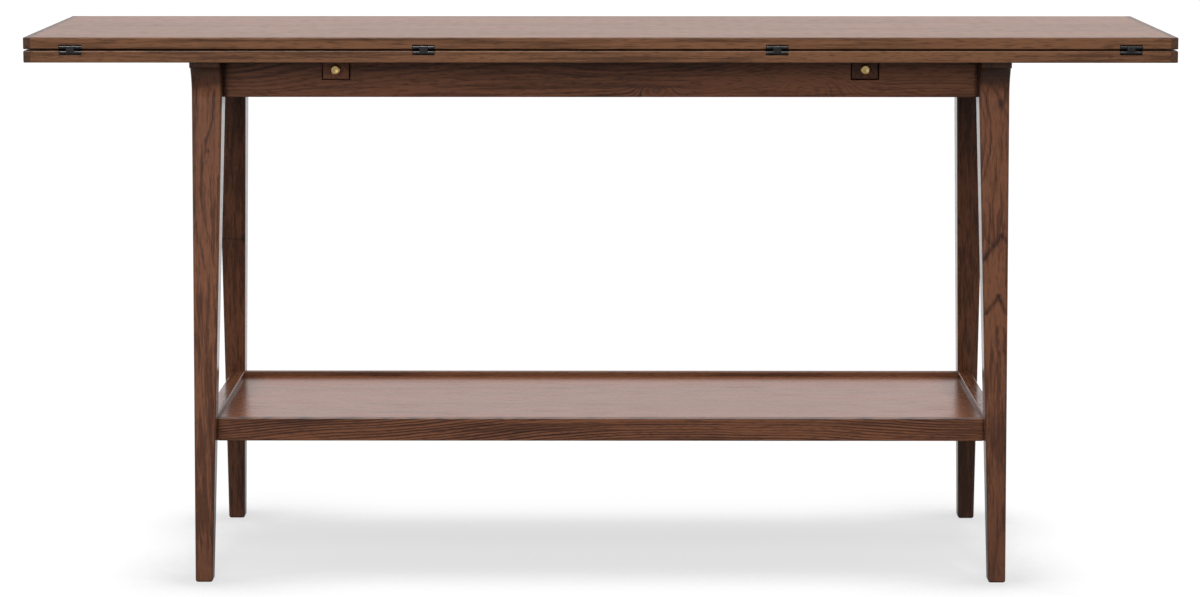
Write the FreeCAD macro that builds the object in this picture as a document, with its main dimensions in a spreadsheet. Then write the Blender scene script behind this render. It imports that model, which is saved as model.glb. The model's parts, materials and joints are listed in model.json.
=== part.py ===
import FreeCAD, Part
import Sketcher
import math
import os
import re

# Folding console table with a flip top, two pull-out supports (lopers) and a low shelf.
# Millimetres. X runs along the table, Y to the back, Z up; the origin is on the floor under the middle.

# Driving sizes: name, size, what it measures
SIZES = [
    ("leaf_length", 1600, "length of both leaves with their end lippings"),
    ("leaf_depth", 450, "depth of each leaf"),
    ("leaf_thick", 16.5, "thickness of each leaf"),
    ("leaf_gap", 2.2, "gap between the closed leaves"),
    ("top_height", 770, "floor to the top of the closed upper leaf"),
    ("leaf_edge_radius", 1.5, "easing of the leaves' long edges, which lets them pass each other"),
    ("lipping_width", 10, "solid wood lipping at each leaf end"),
    ("leaf_cover", 6, "wood left over the tip of a screw or peg in a leaf"),
    ("end_overhang", 227.4, "leaf end past the legs' outer faces"),
    ("foot_reach", 8.8, "feet out past the leaves' long edges"),
    ("leg_splay", 54.7, "how far a leg's outer face leans in from floor to frame top"),
    ("leg_top_width", 44, "leg along X at the frame top"),
    ("leg_foot_width", 24.2, "leg along X at the floor"),
    ("leg_top_depth", 48, "leg along Y at the frame top, without the flare"),
    ("leg_foot_depth", 30, "leg along Y at the floor"),
    ("leg_edge_radius", 3.8, "easing of the legs' long arrises"),
    ("foot_edge_radius", 3.5, "easing round the foot"),
    ("lip_height", 9, "upright lip at the leg head"),
    ("lip_reach", 28, "how far the lip stands out past the leg's face line"),
    ("lip_edge_radius", 3, "easing of the lip's ends and lower edge"),
    ("cove_reach", 21, "how far the cove swings out below the lip"),
    ("cove_height", 42, "height of the cove below the lip"),
    ("apron_height", 53.9, "height of the four aprons"),
    ("apron_thick", 22, "thickness of the front and rear aprons"),
    ("end_apron_thick", 20, "thickness of the end aprons"),
    ("end_apron_setback", 8, "end apron's outer face behind the legs' outer face"),
    ("tenon_length", 16, "end apron tenon into the leg"),
    ("tenon_thick", 10, "thickness of the apron tenons"),
    ("tenon_inset", 4, "apron's outer face to the tenon"),
    ("tenon_shoulder", 7, "apron edge to the tenon, top and bottom"),
    ("tenon_spacing", 4, "wood left between the two tenons that meet in a leg"),
    ("joint_play", 0.15, "play round tenons, tongues and studs"),
    ("block_size", 34, "corner block, along both aprons"),
    ("block_height", 32, "height of the corner blocks"),
    ("block_screw_inset", 10, "apron screws to the leg and to the rear apron's face"),
    ("block_screw_rise", 8, "block edge to the apron screws"),
    ("block_screw_bite", 14, "apron screw's length in the apron"),
    ("top_screw_inset", 12, "top fixing screw to two sides of the block"),
    ("shelf_height", 226.7, "floor to the top of the shelf panel"),
    ("shelf_panel_thick", 18, "thickness of the shelf panel"),
    ("shelf_rail_height", 31.5, "height of the shelf's front rail"),
    ("shelf_rail_thick", 15, "thickness of the shelf's front and back rails"),
    ("shelf_end_rail_thick", 19.5, "thickness of the shelf's end rails"),
    ("shelf_lip_height", 6.5, "back and end rails above the panel"),
    ("shelf_lip_radius", 1.2, "easing of the lip's top edges"),
    ("shelf_overlap", 5.5, "shelf rail's face past the legs' inner face"),
    ("shelf_tenon_length", 15, "end rail tenon into the leg"),
    ("shelf_tenon_thick", 9, "thickness of the end rail tenon"),
    ("shelf_tenon_shoulder", 6, "rail edge to the tenon, top and bottom"),
    ("stub_length", 8, "front and back rail stub tenon into the end rail"),
    ("stub_thick", 6, "thickness of the stub tenon"),
    ("stub_inset", 1.5, "rail's inner face to the stub tenon"),
    ("tongue_length", 6, "panel tongue into the rails"),
    ("tongue_thick", 6, "thickness of the panel tongue"),
    ("tongue_drop", 8, "panel top to the tongue"),
    ("groove_stop", 10, "end of a rail to the end of its groove"),
    ("loper_width", 37, "width of a loper"),
    ("loper_height", 28, "height of a loper"),
    ("loper_inset", 156.6, "middle of a loper in from the leg heads"),
    ("loper_play", 0.3, "running play round a loper"),
    ("loper_notch_play", 1.5, "play of a loper in the apron notch, below and at its sides"),
    ("loper_recess", 2, "closed loper's end behind the apron's face"),
    ("loper_end_play", 2.2, "closed loper's tail to the rear apron"),
    ("loper_hold", 65, "loper's length left in its runners at its stop"),
    ("loper_edge_radius", 1, "easing of the loper's front end"),
    ("left_loper_drawn", 6, "how far the left loper stands drawn at rest"),
    ("runner_width", 20, "width of the runners beside a loper"),
    ("runner_screw_spacing", 96, "between the two screws of a runner"),
    ("keeper_depth", 45, "keeper slat along the loper"),
    ("keeper_thick", 12, "thickness of the keeper slats"),
    ("keeper_setback", 26, "rear keeper to the rear apron"),
    ("keeper_screw_bite", 14, "keeper screw's length in the runner"),
    ("peg_radius", 4, "radius of the loper stop pegs"),
    ("peg_setback", 13, "front apron's inner face to the stop peg"),
    ("peg_drop", 7.5, "stop peg below the lower leaf"),
    ("peg_play", 0.4, "play between stop peg and groove"),
    ("knob_radius", 6.8, "radius of the brass knobs"),
    ("knob_length", 12, "knob out of the loper's end"),
    ("knob_neck_radius", 3.6, "radius of the knob's neck"),
    ("knob_neck_length", 4, "length of the knob's neck"),
    ("knob_bevel", 1.6, "bevel round the knob's head"),
    ("knob_rim", 0.8, "flat rim round the dish in the knob's face"),
    ("knob_dish_depth", 0.7, "depth of the dish"),
    ("stud_radius", 2, "radius of the knob's stud"),
    ("stud_length", 14, "knob's stud in the loper"),
    ("hinge_end_inset", 65, "leaf end to the middle of the outer hinges"),
    ("hinge_width", 30, "width of a hinge along X"),
    ("link_width", 11.2, "width of the hinge link between the knuckles"),
    ("link_side_play", 0.2, "play between link and knuckles"),
    ("barrel_radius", 2.6, "radius of the hinge knuckles and link ends"),
    ("pin_radius", 1.3, "radius of the hinge pins"),
    ("pin_fit", 0.02, "play of the pins in the knuckles"),
    ("pin_run", 0.05, "play of the pins in the link"),
    ("pin_inset", 3, "hinge pins behind the leaves' front edge"),
    ("plate_length", 36, "hinge plate behind the pin"),
    ("plate_thick", 2, "thickness of the hinge plates"),
    ("plate_play", 0.2, "play round a hinge plate in its recess"),
    ("notch_play", 0.6, "play behind and beside the knuckles in the leaf's notch"),
    ("notch_floor_play", 1.1, "play beyond the knuckles in the leaf's notch"),
    ("hinge_screw_radius", 1.5, "shank of the hinge screws"),
    ("hinge_screw_head", 2.9, "head radius of the hinge screws"),
    ("hinge_screw_spacing", 17, "between the two screws of a plate"),
    ("hinge_screw_setback", 26, "pin to the plate's screws"),
    ("wood_screw_radius", 2, "shank of the wood screws"),
    ("wood_screw_head", 4, "head radius of the wood screws"),
    ("screw_play", 0.05, "play round the screws"),
    ("bumper_radius", 5, "radius of the bumpers between the leaves"),
    ("bumper_inset", 25, "bumpers from the leaves' rear edge"),
    ("bumper_play", 0.2, "bumper to the closed upper leaf"),
    ("overcut", 2, "how far a cut runs past the face that it opens"),
]
HINGES = 4

doc = FreeCAD.newDocument("FoldingConsoleTable")
sheet = doc.addObject("Spreadsheet::Sheet", "Sizes")
for row, (alias, size, note) in enumerate(SIZES, start=1):
    sheet.set(f"A{row}", note)
    sheet.set(f"B{row}", str(size))
    sheet.setAlias(f"B{row}", alias)
doc.recompute()

finished = []


# Levels and places, each an expression of the driving sizes

LOWER_TOP = "(top_height - leaf_thick - leaf_gap)"
FRAME_TOP = f"({LOWER_TOP} - leaf_thick)"
UPPER_BOTTOM = "(top_height - leaf_thick)"
MEETING_PLANE = "(top_height - leaf_thick - leaf_gap / 2)"
IN_LEAF = "(leaf_thick - leaf_cover)"

LEG_OUT_X = "(leaf_length / 2 - end_overhang)"
TOP_IN_X = f"({LEG_OUT_X} - leg_top_width)"
FOOT_IN_X = f"({LEG_OUT_X} - leg_foot_width)"
FOOT_OUT_Y = "(leaf_depth / 2 + foot_reach)"
FOOT_IN_Y = f"({FOOT_OUT_Y} - leg_foot_depth)"
TOP_OUT_Y = f"({FOOT_OUT_Y} - leg_splay)"
TOP_IN_Y = f"({TOP_OUT_Y} - leg_top_depth)"


def leg_inner_x(level):
    """X of a leg's inner face, which takes all the taper along the table."""
    return f"({FOOT_IN_X} - ({FOOT_IN_X} - {TOP_IN_X}) * {level} / {FRAME_TOP})"


def leg_inner_y(level):
    """Y of a leg's inner face, which looks at the other leg of its end."""
    return f"({FOOT_IN_Y} - ({FOOT_IN_Y} - {TOP_IN_Y}) * {level} / {FRAME_TOP})"


def leg_face_y(level):
    """Y of a leg's outer face line, without the flare at its head."""
    return f"({FOOT_OUT_Y} - leg_splay * {level} / {FRAME_TOP})"


APRON_BOTTOM = f"({FRAME_TOP} - apron_height)"
APRON_OUT_Y = f"({TOP_IN_Y} + apron_thick)"
END_APRON_OUT_X = f"({LEG_OUT_X} - end_apron_setback)"
END_APRON_IN_X = f"({END_APRON_OUT_X} - end_apron_thick)"
TENON_BOTTOM = f"({APRON_BOTTOM} + tenon_shoulder)"
TENON_TOP = f"({FRAME_TOP} - tenon_shoulder)"
TENON_OUT_Y = f"({APRON_OUT_Y} - tenon_inset)"
TENON_IN_Y = f"({TENON_OUT_Y} - tenon_thick)"
END_TENON_OUT_X = f"({END_APRON_OUT_X} - tenon_inset)"
END_TENON_IN_X = f"({END_TENON_OUT_X} - tenon_thick)"
END_TENON_Y = f"({TOP_IN_Y} + tenon_length)"
LONG_TENON_X = f"({END_TENON_IN_X} - tenon_spacing)"

BLOCK_BOTTOM = f"({FRAME_TOP} - block_height)"
BLOCK_SCREW_X = f"({TOP_IN_X} - block_screw_inset)"
BLOCK_SCREW_Y = f"({TOP_IN_Y} - block_screw_inset)"
LOW_BLOCK_SCREW = f"({BLOCK_BOTTOM} + block_screw_rise)"
HIGH_BLOCK_SCREW = f"({FRAME_TOP} - block_screw_rise)"
TOP_SCREW_X = f"({END_APRON_IN_X} - top_screw_inset)"
TOP_SCREW_Y = f"({TOP_IN_Y} - block_size + top_screw_inset)"

SHELF_BOTTOM = "(shelf_height - shelf_rail_height)"
SHELF_LIP_TOP = "(shelf_height + shelf_lip_height)"
SHELF_IN_X = leg_inner_x(SHELF_LIP_TOP)
SHELF_OUT_Y = f"({leg_inner_y('shelf_height')} + shelf_overlap)"
SHELF_IN_Y = f"({SHELF_OUT_Y} - shelf_rail_thick)"
SHELF_TENON_X = f"({SHELF_IN_X} + shelf_end_rail_thick / 2 - shelf_tenon_thick / 2)"
SHELF_TENON_Y = f"({leg_inner_y('shelf_height')} + shelf_tenon_length)"
SHELF_TENON_BOTTOM = f"({SHELF_BOTTOM} + shelf_tenon_shoulder)"
SHELF_TENON_TOP = f"({SHELF_LIP_TOP} - shelf_tenon_shoulder)"
STUB_IN_Y = f"({SHELF_IN_Y} + stub_inset)"
STUB_OUT_Y = f"({STUB_IN_Y} + stub_thick)"
STUB_TOP = "(shelf_height - shelf_tenon_shoulder)"
STUB_X = f"({SHELF_IN_X} + stub_length)"
TONGUE_TOP = "(shelf_height - tongue_drop)"
TONGUE_BOTTOM = f"({TONGUE_TOP} - tongue_thick)"
GROOVE_X = f"({SHELF_IN_X} - groove_stop)"
GROOVE_Y = f"({SHELF_IN_Y} - groove_stop)"

LOPER_X = f"({TOP_IN_X} - loper_inset)"
LOPER_TOP = f"({FRAME_TOP} - loper_play)"
LOPER_BOTTOM = f"({LOPER_TOP} - loper_height)"
LOPER_MIDDLE = f"({LOPER_TOP} - loper_height / 2)"
LOPER_FRONT = f"(loper_recess - {APRON_OUT_Y})"
LOPER_LENGTH = f"({TOP_IN_Y} - loper_end_play - {LOPER_FRONT})"
LOPER_TRAVEL = f"({LOPER_LENGTH} - loper_hold)"
RUNNER_BOTTOM = f"({LOPER_BOTTOM} - loper_play)"
RUNNER_IN = "(loper_width / 2 + loper_play)"
RUNNER_MIDDLE = f"({RUNNER_IN} + runner_width / 2)"
RUNNER_OUT = f"({RUNNER_IN} + runner_width)"
KEEPER_BOTTOM = f"({RUNNER_BOTTOM} - keeper_thick)"
FRONT_KEEPER = f"(-{TOP_IN_Y})"
REAR_KEEPER = f"({TOP_IN_Y} - keeper_setback - keeper_depth)"
RUNNER_SCREWS = ("-runner_screw_spacing / 2", "runner_screw_spacing / 2")
KEEPER_SCREWS = (f"{FRONT_KEEPER} + keeper_depth / 2", f"{REAR_KEEPER} + keeper_depth / 2")
PEG_Y = f"(peg_setback - {TOP_IN_Y})"
PEG_BOTTOM = f"({FRAME_TOP} - peg_drop)"

PIN_Y = "(pin_inset - leaf_depth / 2)"
LOWER_PIN = f"({LOWER_TOP} - barrel_radius)"
UPPER_PIN = f"({UPPER_BOTTOM} + barrel_radius)"
NOTCH_BACK = f"({PIN_Y} + barrel_radius + notch_play)"
NOTCH_DEPTH = "(2 * barrel_radius + notch_floor_play)"
HINGE_SCREW_Y = f"({PIN_Y} + hinge_screw_setback)"


def hinge_x(number):
    """X of a hinge, counted from 0 at the left; the hinges are evenly spread."""
    return f"(({number} / {HINGES - 1} - 0.5) * (leaf_length - 2 * hinge_end_inset))"


# Helpers that bind geometry to the sheet

# How near an edge's box must lie to a plane to be picked as lying on it
NEAR = 0.001
# Normals of the planes that pieces are mirrored in
ACROSS_X = (1, 0, 0)
ACROSS_Y = (0, 1, 0)
ACROSS_Z = (0, 0, 1)
# Turns that point a screw or rod, drawn along +Z, the way that it is driven
TURNS = {
    "up": FreeCAD.Rotation(FreeCAD.Vector(1, 0, 0), 0),
    "down": FreeCAD.Rotation(FreeCAD.Vector(1, 0, 0), 180),
    "right": FreeCAD.Rotation(FreeCAD.Vector(0, 1, 0), 90),
    "back": FreeCAD.Rotation(FreeCAD.Vector(1, 0, 0), -90),
}


def cells(text):
    """Turn the size names of an expression into references to the sheet's cells."""
    return re.sub(r"[a-z]\w*", lambda word: "Sizes." + word.group(), text)


def number(text):
    """An expression's present value."""
    return float(sheet.evalExpression(cells(text)))


def bind(item, prop, text):
    """Tie a property to an expression of the driving sizes."""
    item.setExpression(prop, cells(text))


def keep(item, label):
    """Name a finished sub-part, whose label also names its file."""
    item.Label = label
    finished.append(item)
    return item


def new_body(label):
    """A body for one sub-part."""
    return keep(doc.addObject("PartDesign::Body", label), label)


def new_sketch(item, name, plane, start):
    """A sketch parallel to one of the body's origin planes, at start on the axis square to it."""
    sketch = item.newObject("Sketcher::SketchObject", name)
    support = [feature for feature in item.Origin.OriginFeatures if feature.Role == plane + "_Plane"]
    sketch.AttachmentSupport = (support[0], [""])
    sketch.MapMode = "FlatFace"
    # The XZ plane's normal looks along -Y
    bind(sketch, "AttachmentOffset.Base.z", f"-({start})" if plane == "XZ" else start)
    return sketch


def hold(sketch, kind, text, *where):
    """Add a dimension to a sketch and tie it to an expression."""
    index = sketch.addConstraint(Sketcher.Constraint(kind, *where, number(text)))
    bind(sketch, f"Constraints[{index}]", text)


def hold_point(sketch, geometry, point, across, up):
    """Tie a point of a sketch to a place measured from the sketch's origin."""
    hold(sketch, "DistanceX", across, -1, 1, geometry, point)
    hold(sketch, "DistanceY", up, -1, 1, geometry, point)


def vector(across, up):
    """The present place of a sketch point."""
    return FreeCAD.Vector(number(across), number(up), 0)


def polygon(sketch, corners):
    """Draw a closed outline; each corner is a pair of expressions."""
    first = sketch.GeometryCount
    count = len(corners)
    for index, corner in enumerate(corners):
        sketch.addGeometry(Part.LineSegment(vector(*corner), vector(*corners[(index + 1) % count])))
    for index in range(count):
        follower = first + (index + 1) % count
        sketch.addConstraint(Sketcher.Constraint("Coincident", first + index, 2, follower, 1))
    for index, corner in enumerate(corners):
        hold_point(sketch, first + index, 1, *corner)


def rectangle(left, right, bottom, top):
    """The corners of a rectangle."""
    return [(left, bottom), (right, bottom), (right, top), (left, top)]


def mirrored(half, bottom, top):
    """The corners of a rectangle that is centred on the sketch's upright axis."""
    return rectangle(f"-{half}", half, bottom, top)


def sloped(low_half, high_half, bottom, top):
    """The corners of a centred board whose ends follow the taper of the legs."""
    return [(f"-{low_half}", bottom), (low_half, bottom), (high_half, top), (f"-{high_half}", top)]


def circle(sketch, across, up, radius):
    """Draw a circle with its centre and radius tied to expressions."""
    index = sketch.addGeometry(Part.Circle(vector(across, up), FreeCAD.Vector(0, 0, 1), number(radius)))
    hold_point(sketch, index, 3, across, up)
    hold(sketch, "Radius", radius, index)


def pad(item, name, sketch, length):
    """Raise a sketch towards +X, +Y or +Z."""
    feature = item.newObject("PartDesign::Pad", name)
    feature.Profile = sketch
    feature.Reversed = sketch.AttachmentSupport[0][0].Role == "XZ_Plane"
    bind(feature, "Length", length)
    return feature


def pocket(item, name, sketch, length):
    """Cut a sketch towards +X, +Y or +Z."""
    feature = item.newObject("PartDesign::Pocket", name)
    feature.Profile = sketch
    feature.Reversed = sketch.AttachmentSupport[0][0].Role != "XZ_Plane"
    bind(feature, "Length", length)
    return feature


def board(item, name, plane, corners, start, length):
    """Pad one straight-sided outline."""
    sketch = new_sketch(item, name + "Sketch", plane, start)
    polygon(sketch, corners)
    return pad(item, name, sketch, length)


def cut(item, name, plane, outlines, start, length):
    """Pocket straight-sided outlines, all to one depth."""
    sketch = new_sketch(item, name + "Sketch", plane, start)
    for corners in outlines:
        polygon(sketch, corners)
    return pocket(item, name, sketch, length)


def drill(item, name, plane, centres, radius, start, length):
    """Pocket round holes, all to one depth."""
    sketch = new_sketch(item, name + "Sketch", plane, start)
    for across, up in centres:
        circle(sketch, across, up, radius)
    return pocket(item, name, sketch, length)


def ease(item, kind, name, prop, size, wanted):
    """Fillet or chamfer the edges of a body that the wanted function picks."""
    doc.recompute()
    base = item.Tip
    picked = [f"Edge{index}" for index, edge in enumerate(base.Shape.Edges, start=1) if wanted(edge)]
    feature = item.newObject(f"PartDesign::{kind}", name)
    feature.Base = (base, picked)
    bind(feature, prop, size)
    return feature


def countersink(item, name, level, axis, kind):
    """Chamfer the round holes that open on a plane square to an axis, for wood or hinge screws."""
    plane = number(level)

    def opens_here(edge):
        low = getattr(edge.BoundBox, axis + "Min")
        high = getattr(edge.BoundBox, axis + "Max")
        on_plane = abs(low - plane) < NEAR and abs(high - plane) < NEAR
        return on_plane and edge.Curve.TypeId == "Part::GeomCircle"

    return ease(item, "Chamfer", name, "Size", f"{kind}_screw_head - {kind}_screw_radius", opens_here)


def mirror(source, label, normal, base=None):
    """A piece of the other hand."""
    item = doc.addObject("Part::Mirroring", label)
    item.Source = source
    item.Normal = FreeCAD.Vector(*normal)
    if base:
        bind(item, "Base.z", base)
    return item


def four_ways(source, name):
    """A piece at the rear right and its three mirror images."""
    right_front = mirror(source, name + "RightFront", ACROSS_Y)
    left_rear = mirror(source, name + "LeftRear", ACROSS_X)
    left_front = mirror(right_front, name + "LeftFront", ACROSS_X)
    return [source, right_front, left_rear, left_front]


def group(label, items):
    """One sub-part made of several separate solids."""
    item = doc.addObject("Part::Compound", label)
    item.Links = items
    return keep(item, label)


def place(item, across, back, up):
    """Tie a piece's place to expressions."""
    bind(item, "Placement.Base.x", across)
    bind(item, "Placement.Base.y", back)
    bind(item, "Placement.Base.z", up)


def rod(name, radius, length, spot, way):
    """A plain round pin that starts at a spot and runs one way."""
    item = doc.addObject("Part::Cylinder", name)
    bind(item, "Radius", radius)
    bind(item, "Height", length)
    item.Placement.Rotation = TURNS[way]
    place(item, *spot)
    return item


def screw(name, kind, length, spot, way):
    """A countersunk wood or hinge screw with its head flush at a spot."""
    shank, head = f"{kind}_screw_radius", f"{kind}_screw_head"
    cone = doc.addObject("Part::Cone", name + "Head")
    bind(cone, "Radius1", head)
    bind(cone, "Radius2", shank)
    bind(cone, "Height", f"{head} - {shank}")
    stem = doc.addObject("Part::Cylinder", name + "Shank")
    bind(stem, "Radius", shank)
    bind(stem, "Height", f"{length} - ({head} - {shank})")
    bind(stem, "Placement.Base.z", f"{head} - {shank}")
    item = doc.addObject("Part::Fuse", name)
    item.Base = cone
    item.Tool = stem
    item.Placement.Rotation = TURNS[way]
    place(item, *spot)
    return item


# Legs


def leg_profile(item):
    """A leg seen from its end: splayed and tapered, with a cove and a lip on the outer side."""
    cove_top = f"({FRAME_TOP} - lip_height)"
    cove_foot = f"({cove_top} - cove_height)"
    foot = (FOOT_OUT_Y, "0")
    low = (leg_face_y(cove_foot), cove_foot)
    high = (f"({leg_face_y(cove_top)} + cove_reach)", cove_top)
    lip = f"({TOP_OUT_Y} + lip_reach)"
    rest = [high, (lip, cove_top), (lip, FRAME_TOP), (TOP_IN_Y, FRAME_TOP), (FOOT_IN_Y, "0"), foot]

    sketch = new_sketch(item, "ProfileSketch", "YZ", TOP_IN_X)
    start, end = vector(*low), vector(*high)
    along = (start - vector(*foot)).normalize()
    outward = FreeCAD.Vector(along.y, -along.x, 0)
    chord = end - start
    radius = chord.dot(chord) / (2 * chord.dot(outward))
    centre = start + outward * radius
    first_angle = math.atan2(end.y - centre.y, end.x - centre.x)
    last_angle = math.atan2(start.y - centre.y, start.x - centre.x) % (2 * math.pi)
    ring = Part.Circle(centre, FreeCAD.Vector(0, 0, 1), radius)

    face = sketch.addGeometry(Part.LineSegment(vector(*foot), start))
    cove = sketch.addGeometry(Part.ArcOfCircle(ring, first_angle, last_angle))
    lines = [sketch.addGeometry(Part.LineSegment(vector(*a), vector(*b))) for a, b in zip(rest, rest[1:])]
    sketch.addConstraint(Sketcher.Constraint("Tangent", face, 2, cove, 2))
    sketch.addConstraint(Sketcher.Constraint("Coincident", cove, 1, lines[0], 1))
    for one, other in zip(lines, lines[1:] + [face]):
        sketch.addConstraint(Sketcher.Constraint("Coincident", one, 2, other, 1))
    hold_point(sketch, face, 1, *foot)
    hold_point(sketch, face, 2, *low)
    for line, corner in zip(lines, rest):
        hold_point(sketch, line, 1, *corner)
    return sketch


def make_leg(label):
    """The rear right leg, with its mortises."""
    item = new_body(label)
    pad(item, "Blank", leg_profile(item), "leg_top_width")
    inside = f"({TOP_IN_X} - overcut)"
    taper = [(TOP_IN_X, FRAME_TOP), (inside, FRAME_TOP), (inside, "-overcut"), (FOOT_IN_X, "-overcut"),
             (FOOT_IN_X, "0")]
    cut(item, "Taper", "XZ", [taper], f"{TOP_IN_Y} - overcut", f"{FOOT_OUT_Y} - {TOP_IN_Y} + 2 * overcut")
    half_height = number(FRAME_TOP) / 2
    ease(item, "Fillet", "Arrises", "Radius", "leg_edge_radius",
         lambda edge: edge.BoundBox.ZLength > half_height)
    ease(item, "Fillet", "Foot", "Radius", "foot_edge_radius",
         lambda edge: edge.BoundBox.ZMax < NEAR)
    lip_face = number(f"({TOP_OUT_Y} + lip_reach)") - NEAR
    lip_top = number(FRAME_TOP) - NEAR
    ease(item, "Fillet", "Lip", "Radius", "lip_edge_radius",
         lambda edge: edge.BoundBox.YMin > lip_face and edge.BoundBox.ZMin < lip_top)

    long_mortise = rectangle(f"{TENON_IN_Y} - joint_play", f"{TENON_OUT_Y} + joint_play",
                             f"{TENON_BOTTOM} - joint_play", f"{TENON_TOP} + joint_play")
    cut(item, "LongMortise", "YZ", [long_mortise], inside, f"{LONG_TENON_X} + joint_play - {inside}")
    end_mortise = rectangle(f"{END_TENON_IN_X} - joint_play", f"{END_TENON_OUT_X} + joint_play",
                            f"{TENON_BOTTOM} - joint_play", f"{TENON_TOP} + joint_play")
    start = f"({TOP_IN_Y} - overcut)"
    cut(item, "EndMortise", "XZ", [end_mortise], start, f"{END_TENON_Y} + joint_play - {start}")
    shelf_mortise = rectangle(f"{SHELF_TENON_X} - joint_play",
                              f"{SHELF_TENON_X} + shelf_tenon_thick + joint_play",
                              f"{SHELF_TENON_BOTTOM} - joint_play", f"{SHELF_TENON_TOP} + joint_play")
    cut(item, "ShelfMortise", "XZ", [shelf_mortise], start, f"{SHELF_TENON_Y} + joint_play - {start}")
    return item


rear_right_leg = make_leg("rear_right_leg")
rear_left_leg = keep(mirror(rear_right_leg, "RearLeftLeg", ACROSS_X), "rear_left_leg")
keep(mirror(rear_right_leg, "FrontRightLeg", ACROSS_Y), "front_right_leg")
keep(mirror(rear_left_leg, "FrontLeftLeg", ACROSS_Y), "front_left_leg")


# Aprons and corner blocks


def make_long_apron(label, back):
    """The front or rear apron between the legs, with its tenons and corner screw holes."""
    item = new_body(label)
    corners = sloped(leg_inner_x(APRON_BOTTOM), TOP_IN_X, APRON_BOTTOM, FRAME_TOP)
    board(item, "Board", "XZ", corners, TOP_IN_Y if back else f"-{APRON_OUT_Y}", "apron_thick")
    board(item, "Tenons", "XZ", mirrored(LONG_TENON_X, TENON_BOTTOM, TENON_TOP),
          TENON_IN_Y if back else f"-{TENON_OUT_Y}", "tenon_thick")
    bite = "(block_screw_bite + screw_play)"
    centres = [(BLOCK_SCREW_X, LOW_BLOCK_SCREW), (f"-{BLOCK_SCREW_X}", LOW_BLOCK_SCREW)]
    drill(item, "ScrewHoles", "XZ", centres, "wood_screw_radius + screw_play",
          f"{TOP_IN_Y} - overcut" if back else f"-{TOP_IN_Y} - {bite}", f"{bite} + overcut")
    return item


def make_end_apron(label):
    """The right end apron between the two legs of an end."""
    item = new_body(label)
    corners = sloped(leg_inner_y(APRON_BOTTOM), TOP_IN_Y, APRON_BOTTOM, FRAME_TOP)
    board(item, "Board", "YZ", corners, END_APRON_IN_X, "end_apron_thick")
    board(item, "Tenons", "YZ", mirrored(END_TENON_Y, TENON_BOTTOM, TENON_TOP), END_TENON_IN_X, "tenon_thick")
    centres = [(BLOCK_SCREW_Y, HIGH_BLOCK_SCREW), (f"-{BLOCK_SCREW_Y}", HIGH_BLOCK_SCREW)]
    drill(item, "ScrewHoles", "YZ", centres, "wood_screw_radius + screw_play",
          f"{END_APRON_IN_X} - overcut", "block_screw_bite + screw_play + overcut")
    return item


front_apron = make_long_apron("front_apron", False)
notch_half = "(loper_width / 2 + loper_notch_play)"
notches = []
for side in (-1, 1):
    middle = f"{side} * {LOPER_X}"
    notches.append(rectangle(f"{middle} - {notch_half}", f"{middle} + {notch_half}",
                             f"{LOPER_BOTTOM} - loper_notch_play", f"{FRAME_TOP} + overcut"))
cut(front_apron, "LoperNotches", "XZ", notches, f"-{APRON_OUT_Y} - overcut", "apron_thick + 2 * overcut")
make_long_apron("rear_apron", True)
right_end_apron = make_end_apron("right_end_apron")
keep(mirror(right_end_apron, "LeftEndApron", ACROSS_X), "left_end_apron")


def make_corner_block(label):
    """The rear right corner block, screwed to both aprons and up into the lower leaf."""
    item = new_body(label)
    west, south = f"({END_APRON_IN_X} - block_size)", f"({TOP_IN_Y} - block_size)"
    board(item, "Block", "XY", rectangle(west, END_APRON_IN_X, south, TOP_IN_Y), BLOCK_BOTTOM, "block_height")
    hole = "wood_screw_radius + screw_play"
    drill(item, "LongHole", "XZ", [(BLOCK_SCREW_X, LOW_BLOCK_SCREW)], hole, f"{south} - overcut",
          "block_size + 2 * overcut")
    drill(item, "EndHole", "YZ", [(BLOCK_SCREW_Y, HIGH_BLOCK_SCREW)], hole, f"{west} - overcut",
          "block_size + 2 * overcut")
    drill(item, "TopHole", "XY", [(TOP_SCREW_X, TOP_SCREW_Y)], hole, f"{BLOCK_BOTTOM} - overcut",
          "block_height + 2 * overcut")
    countersink(item, "LongSink", south, "Y", "wood")
    countersink(item, "EndSink", west, "X", "wood")
    countersink(item, "TopSink", BLOCK_BOTTOM, "Z", "wood")
    return item


rear_right_block = make_corner_block("rear_right_corner_block")
rear_left_block = keep(mirror(rear_right_block, "RearLeftBlock", ACROSS_X), "rear_left_corner_block")
keep(mirror(rear_right_block, "FrontRightBlock", ACROSS_Y), "front_right_corner_block")
keep(mirror(rear_left_block, "FrontLeftBlock", ACROSS_Y), "front_left_corner_block")

block_screw_length = "(block_size + block_screw_bite)"
long_spot = (BLOCK_SCREW_X, f"{TOP_IN_Y} - block_size", LOW_BLOCK_SCREW)
end_spot = (f"{END_APRON_IN_X} - block_size", BLOCK_SCREW_Y, HIGH_BLOCK_SCREW)
long_screw = screw("LongBlockScrew", "wood", block_screw_length, long_spot, "back")
end_screw = screw("EndBlockScrew", "wood", block_screw_length, end_spot, "right")
group("corner_block_screws", four_ways(long_screw, "LongBlockScrew") + four_ways(end_screw, "EndBlockScrew"))
top_screw = screw("TopScrew", "wood", f"(block_height + {IN_LEAF})",
                  (TOP_SCREW_X, TOP_SCREW_Y, BLOCK_BOTTOM), "up")
group("top_fixing_screws", four_ways(top_screw, "TopScrew"))


# Shelf


def ease_lip(item, along):
    """Round the two top edges of a rail that stands up past the panel."""
    top = number(SHELF_LIP_TOP)

    def on_top(edge):
        box = edge.BoundBox
        return abs(box.ZMin - top) < NEAR and getattr(box, along + "Length") > number("block_size")

    ease(item, "Fillet", "LipEdges", "Radius", "shelf_lip_radius", on_top)


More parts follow.
